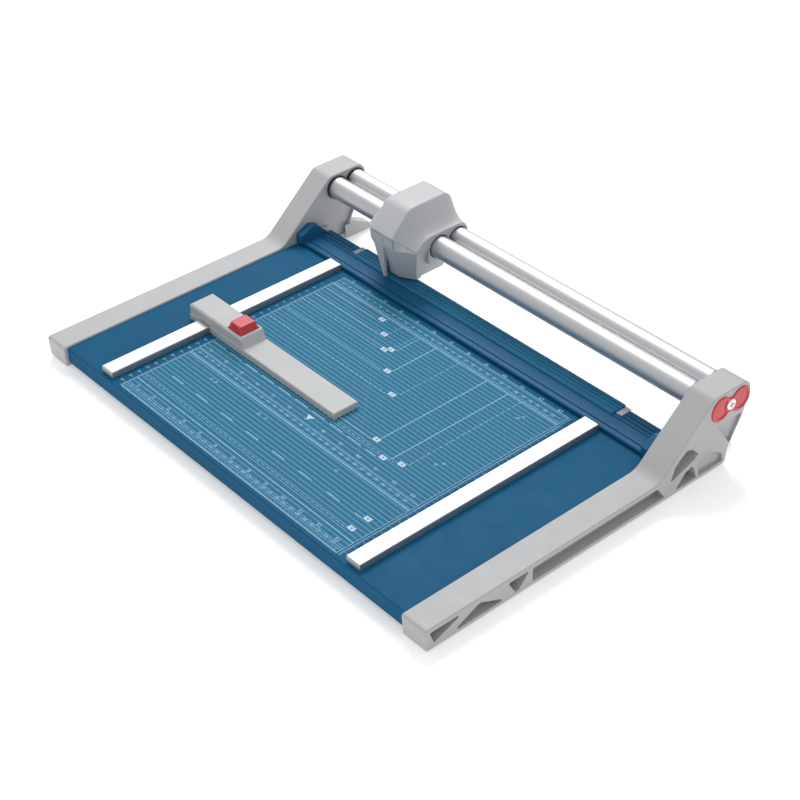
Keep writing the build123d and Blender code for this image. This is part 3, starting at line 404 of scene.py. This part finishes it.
# Small slanted numbers: places
MARKS = [(65.7, -195.4), (72.9, -195.4), (142.2, -195.4), (151.8, -195.4), (258.1, -195.4),
         (313.1, -20.3), (315.5, -15.5), (313.1, -123.1), (316.7, -117.1)]
RULE_DASHES = (35.9, -220.5, 18.5, 39.9, 8)         # first x, y, length, pitch, count
RULE_END = PRINT_RIGHT - 21.0                       # no rule dash goes past this
# Slanted guide lines: start, end
SLANTS = (((71.7, 16.7), (133.8, -45.4)), ((133.8, -45.4), (234.2, -145.8)),
          ((239.0, -150.6), (270.1, -181.6)))
BORDER_GAP = 2.4                                    # between the two lines of the right border
BAND_LINES = (PRINT_TOP, -173.3, -247.4, -259.3)    # thin lines that bound the scale bands
CENTRE_MARK = [(179.2, -167.3), (184.2, -160.9), (174.2, -160.9)]
# Heights of the numbers
CM_NUMBER = 3.4
INCH_NUMBER = 3.8
SIDE_NUMBER = 3.0
TAB_NUMBER = 3.6
FONT_SIZE = 1.35                                    # font size over the height of a number
# Last numbers on the scales
CM_LAST = 33
INCH_LAST = 13
SIDE_LAST = 26
# Where numbers stand
CM_LIFT = 7.0                                       # above their base line
SIDE_LEFT = -7.4                                    # from the print's left edge
SIDE_RIGHT = 9.0                                    # from the print's right edge
MARK_TURN = 45                                      # degrees
PRINT_T = 0.012 * MM


def stripes():
    """Tinted field with fine lines along X over all of it, and the slanted guide lines."""
    field = Slabs(0.0, PRINT_T / 2)
    field.bar(PRINT_LEFT, PRINT_RIGHT, PRINT_FRONT, PRINT_TOP)
    field.piece("print_field", INK_TINT)
    slabs = Slabs(PRINT_T / 2, PRINT_T / 2)
    count = int((PRINT_TOP - PRINT_FRONT) / STRIPE_PITCH)
    for i in range(count):
        y = PRINT_TOP - STRIPE_INSET - STRIPE_PITCH * i
        slabs.along_x(y, PRINT_LEFT, PRINT_RIGHT, STRIPE_WIDE)
    for start, end in SLANTS:
        slabs.slanted(start, end, HAIR)
    slabs.piece("print_stripes", INK_SOFT)


def tick_length(i):
    if i % 10 == 0:
        return TICK[2]
    return TICK[1] if i % 5 == 0 else TICK[0]


def scale_ticks(slabs):
    """Millimetre and inch ticks along X, and millimetre ticks along Y beside the rails."""
    for base in SCALES:
        for i in range(math.ceil(PRINT_LEFT) + 1, int(PRINT_RIGHT)):
            slabs.bar(i - HAIR / 2, i + HAIR / 2, base, base + tick_length(i))
    low, high = INCH_TICK
    for row in INCH_ROWS:
        for i in range(1, INCH_LAST + 1):
            slabs.bar(INCH * i - FINE / 2, INCH * i + FINE / 2, row + low, row + high)
    for edge, side in ((PRINT_LEFT, -1), (PRINT_RIGHT + BORDER_GAP, 1)):
        for i in range(int(-PRINT_FRONT) + 1):
            tip = edge + side * tick_length(i)
            slabs.bar(min(edge, tip), max(edge, tip), -i - HAIR / 2, -i + HAIR / 2)


def rules_and_formats():
    """Border, base lines, scales and the paper format lines."""
    slabs = Slabs(PRINT_T, PRINT_T)
    for x in (PRINT_LEFT, PRINT_RIGHT, PRINT_RIGHT + BORDER_GAP):
        slabs.along_y(x, PRINT_TOP, PRINT_FRONT, FINE)
    for y in BAND_LINES:
        slabs.along_x(y, PRINT_LEFT, PRINT_RIGHT, FINE)
    for y in SCALES:
        slabs.along_x(y, PRINT_LEFT, PRINT_RIGHT, BOLD)
    scale_ticks(slabs)
    for y, end, width, dash, gap in LINES_X:
        slabs.along_x(y, PRINT_LEFT + LINE_INSET, end, width, dash, gap)
    for x, end, width, dash, gap in LINES_Y:
        slabs.along_y(x, 0.0, end, width, dash, gap)
    x, y, length, pitch, count = RULE_DASHES
    for i in range(count):
        slabs.along_x(y, x + pitch * i, min(x + pitch * i + length, RULE_END), BOLD)
    slabs.piece("print_rules", INK)


def tabs_and_markers():
    """Light tabs at the corners of the paper formats, and the centre marker."""
    slabs = Slabs(2 * PRINT_T, PRINT_T)
    half_x, half_y = TAB_HALF
    for x, y, _ in TABS:
        slabs.bar(x - half_x, x + half_x, y - half_y, y + half_y)
    slabs.outline(CENTRE_MARK)
    slabs.piece("print_tabs", INK_WHITE)


def number_mesh(items, name, material, lift):
    """Numbers as thin flat characters in one mesh; items are (text, x, y, height, turn)."""
    vertices, faces = [], []
    for text, x, y, height, turn in items:
        curve = bpy.data.curves.new("number", "FONT")
        curve.body = text
        curve.size = height * MM * FONT_SIZE
        curve.align_x = "CENTER"
        curve.align_y = "CENTER"
        curve.resolution_u = 3
        curve.extrude = PRINT_T / 2
        holder = bpy.data.objects.new("number", curve)
        mesh = bpy.data.meshes.new_from_object(holder)
        place = Matrix.Translation((RAIL_X + x * MM, PRINT_Y + y * MM, TABLE_Z + lift + PRINT_T / 2))
        mesh.transform(place @ Matrix.Rotation(math.radians(turn), 4, "Z"))
        first = len(vertices)
        vertices += [tuple(v.co) for v in mesh.vertices]
        faces += [[first + i for i in p.vertices] for p in mesh.polygons]
        bpy.data.objects.remove(holder)
        bpy.data.curves.remove(curve)
        bpy.data.meshes.remove(mesh)
    return add_piece(name, vertices, faces, material, "base")


def scale_numbers():
    """Numbers on the scales and beside the rails, the slanted ones, and those on the tabs."""
    items = []
    for base in SCALES:
        for i in range(2, CM_LAST + 1):
            items.append((str(i), CM * i + NUMBER_SHIFT, base + CM_LIFT, CM_NUMBER, 0))
    for row in INCH_ROWS:
        for i in range(1, INCH_LAST + 1):
            items.append((str(i), INCH * i + NUMBER_SHIFT, row, INCH_NUMBER, 0))
    for i in range(1, SIDE_LAST + 1):
        items.append((str(i), PRINT_LEFT + SIDE_LEFT, -CM * i, SIDE_NUMBER, 0))
        items.append((str(i), PRINT_RIGHT + SIDE_RIGHT, -CM * i, SIDE_NUMBER, 0))
    for i, (x, y) in enumerate(MARKS):
        items.append((str(10 * (i % 3 + 1)), x, y, SIDE_NUMBER, MARK_TURN))
    number_mesh(items, "print_numbers", INK, PRINT_T)
    number_mesh([(str(n), x, y, TAB_NUMBER, 0) for x, y, n in TABS], "print_tab_numbers",
                MATERIALS["table_paint"], 3 * PRINT_T)


# --- cutting head's hood ----------------------------------------------------------------------

HOOD_HALF = (HOOD_HIGH.x - HOOD_LOW.x) / 2
HOOD_X = (HOOD_HIGH.x + HOOD_LOW.x) / 2
HOOD_CORE = 17.9 * MM
EDGE_ROUND = 2.2 * MM
# Corners relative to the tubes' middle, in mm: big core, small collar, corner radii of both.
HOOD_CORNERS = [
    ((-27.4, 3.9), (-27.4, 3.9), 0.7, 0.7), ((-58.9, 16.3), (-43.6, 3.9), 1.4, 1.0),
    ((-59.6, 18.6), (-44.1, 5.3), 2.4, 1.0), ((-36.2, 42.1), (-35.7, 12.7), 6.0, 4.8),
    ((-29.0, 44.0), (-27.8, 16.5), 6.0, 3.6), ((14.6, 44.0), (17.4, 16.3), 6.0, 3.6),
    ((20.6, 39.9), (23.4, 13.4), 3.6, 2.4), ((25.2, 28.7), (26.5, 7.2), 6.0, 2.4),
    ((27.4, -12.0), (27.0, -7.2), 3.6, 2.4), ((24.6, -16.3), (24.1, -16.3), 1.8, 1.4),
    ((-27.4, -16.3), (-27.4, -16.3), 0.7, 0.7),
]
HOOD_MIDDLE = (TUBE_FRONT + TUBE_REAR) / 2
CORNER_POINTS = 6
CORNER_SHARE = 0.45             # most of a side that one corner takes
ROUND_FROM = 1.6                # where the core's edge starts to round, in EDGE_ROUND
ROUND_STEPS = 6
ROUND_BLEND = 0.035             # blend where the rounding ends
FLARE_STEPS = 24                # from the core to the collar
FLARE_START = 0.05              # blend where the flare starts
FLARE_SPREAD = 1.5              # over 1 puts more steps near the core
FLARE_POWERS = (2.2, 0.8)       # shape of the hollow
RING_SIDES = 64
CUT_OVER = 2 * MM               # how far a cutting cylinder reaches past the hood
TUBE_ROOM = 0.7 * MM            # around the tubes
BUSH_ROOM = 0.02 * MM           # around the bushings


def lerp(a, b, t):
    return a + (b - a) * t


def hood_outline(blend):
    """Rounded section between the big core and the small collar, as (y, z) points."""
    corners = [(Vector((lerp(big[0], small[0], blend), lerp(big[1], small[1], blend))),
                lerp(r_big, r_small, blend)) for big, small, r_big, r_small in HOOD_CORNERS]
    points = []
    for i, (here, radius) in enumerate(corners):
        before = corners[i - 1][0] - here
        after = corners[(i + 1) % len(corners)][0] - here
        reach = min(radius, before.length * CORNER_SHARE, after.length * CORNER_SHARE)
        start = here + before.normalized() * reach
        end = here + after.normalized() * reach
        for k in range(CORNER_POINTS):
            t = k / (CORNER_POINTS - 1)
            p = start * (1 - t) ** 2 + here * 2 * t * (1 - t) + end * t ** 2
            points.append((HOOD_MIDDLE.y + p.x * MM, HOOD_MIDDLE.z + p.y * MM))
    return points


def flare(share):
    """How far out from core to collar, and the blend there, for an even share from 0 to 1."""
    out = share ** FLARE_SPREAD
    inner, outer = FLARE_POWERS
    return out, lerp(FLARE_START, 1.0, (1 - (1 - out) ** inner) ** outer)


def flare_steps():
    """(distance from the middle, blend) pairs over one half of the hood."""
    steps = [(0.0, 0.0), (HOOD_CORE - ROUND_FROM * EDGE_ROUND, 0.0)]
    for k in range(1, ROUND_STEPS):
        t = k / ROUND_STEPS
        steps.append((HOOD_CORE - EDGE_ROUND * (1 - t), ROUND_BLEND * t * t))
    for k in range(FLARE_STEPS + 1):
        out, blend = flare(k / FLARE_STEPS)
        steps.append((lerp(HOOD_CORE, HOOD_HALF, out), blend))
    return steps


def add_cylinder_x(x0, x1, y, z, radius):
    """Cutting cylinder along X."""
    count = RING_SIDES
    turns = [2 * math.pi * i / count for i in range(count)]
    ring = [(math.cos(turn), math.sin(turn)) for turn in turns]
    vertices = [(x, y + radius * c, z + radius * s) for x in (x0, x1) for c, s in ring]
    faces = [list(reversed(range(count))), [count + i for i in range(count)]]
    faces += [[i, (i + 1) % count, count + (i + 1) % count, count + i] for i in range(count)]
    mesh = bpy.data.meshes.new("cutter")
    mesh.from_pydata(vertices, [], faces)
    cutter = bpy.data.objects.new("cutter", mesh)
    bpy.context.scene.collection.objects.link(cutter)
    return cutter


def cut(piece, cutters):
    """Subtracts each cutter from the piece's mesh and applies the result."""
    for cutter in cutters:
        step = piece.modifiers.new("cut", "BOOLEAN")
        step.operation = "DIFFERENCE"
        step.solver = "EXACT"
        step.object = cutter
    bpy.context.view_layer.update()
    graph = bpy.context.evaluated_depsgraph_get()
    mesh = bpy.data.meshes.new_from_object(piece.evaluated_get(graph))
    piece.modifiers.clear()
    piece.data = mesh
    for cutter in cutters:
        bpy.data.objects.remove(cutter)


def hood():
    """Grip hood with its hollow flares, rounded edges and tube bores."""
    half = flare_steps()
    sections = [(-x, b) for x, b in reversed(half[1:])] + half
    vertices, faces = [], []
    for x, blend in sections:
        vertices += [(HOOD_X + x, y, z) for y, z in hood_outline(blend)]
    count = len(HOOD_CORNERS) * CORNER_POINTS
    for s in range(len(sections) - 1):
        for i in range(count):
            j = (i + 1) % count
            a, b = s * count, (s + 1) * count
            faces.append([a + i, b + i, b + j, a + j])
    last = (len(sections) - 1) * count
    faces.append(list(range(count)))
    faces.append([last + i for i in reversed(range(count))])
    piece = add_piece("head_hood_shell", vertices, faces, MATERIALS["hood_plastic"], "head")
    bush_low, bush_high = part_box("bushing_front_left")
    bush_r = (bush_high.z - bush_low.z) / 2
    bush_long = bush_high.x - bush_low.x
    cutters = []
    for tube in (TUBE_FRONT, TUBE_REAR):
        cutters.append(add_cylinder_x(HOOD_LOW.x - CUT_OVER, HOOD_HIGH.x + CUT_OVER, tube.y, tube.z,
                                      TUBE_R + TUBE_ROOM))
        for x0 in (HOOD_LOW.x - CUT_OVER, HOOD_HIGH.x - bush_long):
            cutters.append(add_cylinder_x(x0, x0 + bush_long + CUT_OVER, tube.y, tube.z,
                                          bush_r + BUSH_ROOM))
    cut(piece, cutters)
    piece.data.shade_smooth()
    piece.data.set_sharp_from_angle(angle=HOOD_SHARP)
    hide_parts("head_hood")


GUARD_CORE_Y = -57.3            # guard's front face at the core, from HOOD_MIDDLE in mm
GUARD_SIDE_Y = -43.7            # and at the collars
CHEEK_DEEP = 2.4 * MM           # front to back at its top
CHEEK_BEHIND = 0.5 * MM         # how far its top edge lies behind the hood's front edge
CHEEK_ABOVE = 0.3 * MM          # and above it
CHEEK_STEPS = 14


def cheeks():
    """Guard's shoulders, which close the wedge below the hood's front edge on both sides."""
    (_, guard_top), _, _, _ = HOOD_CORNERS[0]
    big, small, _, _ = HOOD_CORNERS[1]
    low = HOOD_MIDDLE.z + guard_top * MM
    vertices, faces = [], []
    for side in (-1, 1):
        first = len(vertices)
        for k in range(CHEEK_STEPS + 1):
            out, blend = flare(k / CHEEK_STEPS)
            x = HOOD_X + side * lerp(HOOD_CORE, HOOD_HALF, out)
            front = HOOD_MIDDLE.y + lerp(GUARD_CORE_Y, GUARD_SIDE_Y, out) * MM
            top_y = HOOD_MIDDLE.y + lerp(big[0], small[0], blend) * MM + CHEEK_BEHIND
            top_z = max(HOOD_MIDDLE.z + lerp(big[1], small[1], blend) * MM + CHEEK_ABOVE, low)
            back = top_y + CHEEK_DEEP
            vertices += [(x, front, low), (x, top_y, top_z), (x, back, top_z), (x, back, low)]
        for k in range(CHEEK_STEPS):
            a, b = first + 4 * k, first + 4 * k + 4
            for i in range(4):
                j = (i + 1) % 4
                face = [a + i, a + j, b + j, b + i]
                faces.append(face if side < 0 else face[::-1])
        last = first + 4 * CHEEK_STEPS
        start, end = [first, first + 1, first + 2, first + 3], [last + 3, last + 2, last + 1, last]
        faces += [start[::-1], end[::-1]] if side < 0 else [start, end]
    add_piece("guard_cheeks", vertices, faces, MATERIALS["guard_plastic"], "head",
              smooth=True)


def springs():
    """Coil springs under the clamp and the button, each copied to its own mesh that rides on its body in
    place of the hidden CAD node.
    """
    behaviour = frame["record"]["behaviour"]
    for joint in behaviour["joints"]:
        for entry in joint.get("deforming_nodes", []):
            node = entry["node"]
            source = frame["nodes"][node]
            mesh = source.data.copy()
            mesh.transform(source.matrix_world)
            piece = bpy.data.objects.new(node + "_coil", mesh)
            bpy.context.scene.collection.objects.link(piece)
            body = next(name for name, nodes in behaviour["bodies"].items() if node in nodes)
            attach(piece, body)
            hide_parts(node)
            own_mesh(piece)


# --- stage, light and camera -------------------------------------------------------------------


def studio():
    """Plain pale floor, soft light from behind on the left, and an even surround."""
    world = bpy.data.worlds.new("studio")
    world.use_nodes = True
    world.node_tree.nodes["Background"].inputs["Color"].default_value = (1.0, 1.0, 1.0, 1.0)
    world.node_tree.nodes["Background"].inputs["Strength"].default_value = SURROUND
    bpy.context.scene.world = world
    mesh = bpy.data.meshes.new("floor")
    half = FLOOR_HALF
    corners = [(-half, -half, 0), (half, -half, 0), (half, half, 0), (-half, half, 0)]
    mesh.from_pydata(corners, [], [[0, 1, 2, 3]])
    floor_mat, _, shader = new_material("floor_white")
    shader.inputs["Base Color"].default_value = (0.93, 0.93, 0.93, 1.0)
    shader.inputs["Roughness"].default_value = 1.0
    shader.inputs["Specular IOR Level"].default_value = 0.0
    shader.inputs["Emission Color"].default_value = (1.0, 1.0, 1.0, 1.0)
    shader.inputs["Emission Strength"].default_value = FLOOR_GLOW
    mesh.materials.append(floor_mat)
    floor = bpy.data.objects.new("floor", mesh)
    bpy.context.scene.collection.objects.link(floor)
    for name, at, size, energy in LAMPS:
        lamp = bpy.data.lights.new(name, "AREA")
        lamp.shape = "DISK"
        lamp.size = size
        lamp.energy = energy
        holder = bpy.data.objects.new(name, lamp)
        holder.location = at
        holder.rotation_euler = Vector(at).to_track_quat("Z", "Y").to_euler()
        bpy.context.scene.collection.objects.link(holder)
    bpy.context.scene.view_settings.view_transform = "Standard"


def camera():
    az = math.radians(CAMERA_AZIMUTH)
    el = math.radians(CAMERA_ELEVATION)
    back = Vector((math.sin(az) * math.cos(el), -math.cos(az) * math.cos(el), math.sin(el)))
    level = Vector((math.cos(az), math.sin(az), 0.0))
    right = Matrix.Rotation(math.radians(CAMERA_ROLL), 3, back) @ level
    up = back.cross(right)
    lens = bpy.data.cameras.new("camera")
    lens.lens = CAMERA_LENS
    lens.sensor_width = 36.0
    lens.clip_start = 0.01
    holder = bpy.data.objects.new("camera", lens)
    holder.matrix_world = Matrix((
        (right.x, up.x, back.x, CAMERA_AT[0]), (right.y, up.y, back.y, CAMERA_AT[1]),
        (right.z, up.z, back.z, CAMERA_AT[2]), (0, 0, 0, 1)))
    bpy.context.scene.collection.objects.link(holder)
    bpy.context.scene.camera = holder


paint_nodes()
for name, width in EDGE_WIDTHS:
    soften(name, width)
stripes()
rules_and_formats()
tabs_and_markers()
scale_numbers()
hood()
cheeks()
springs()
studio()
camera()
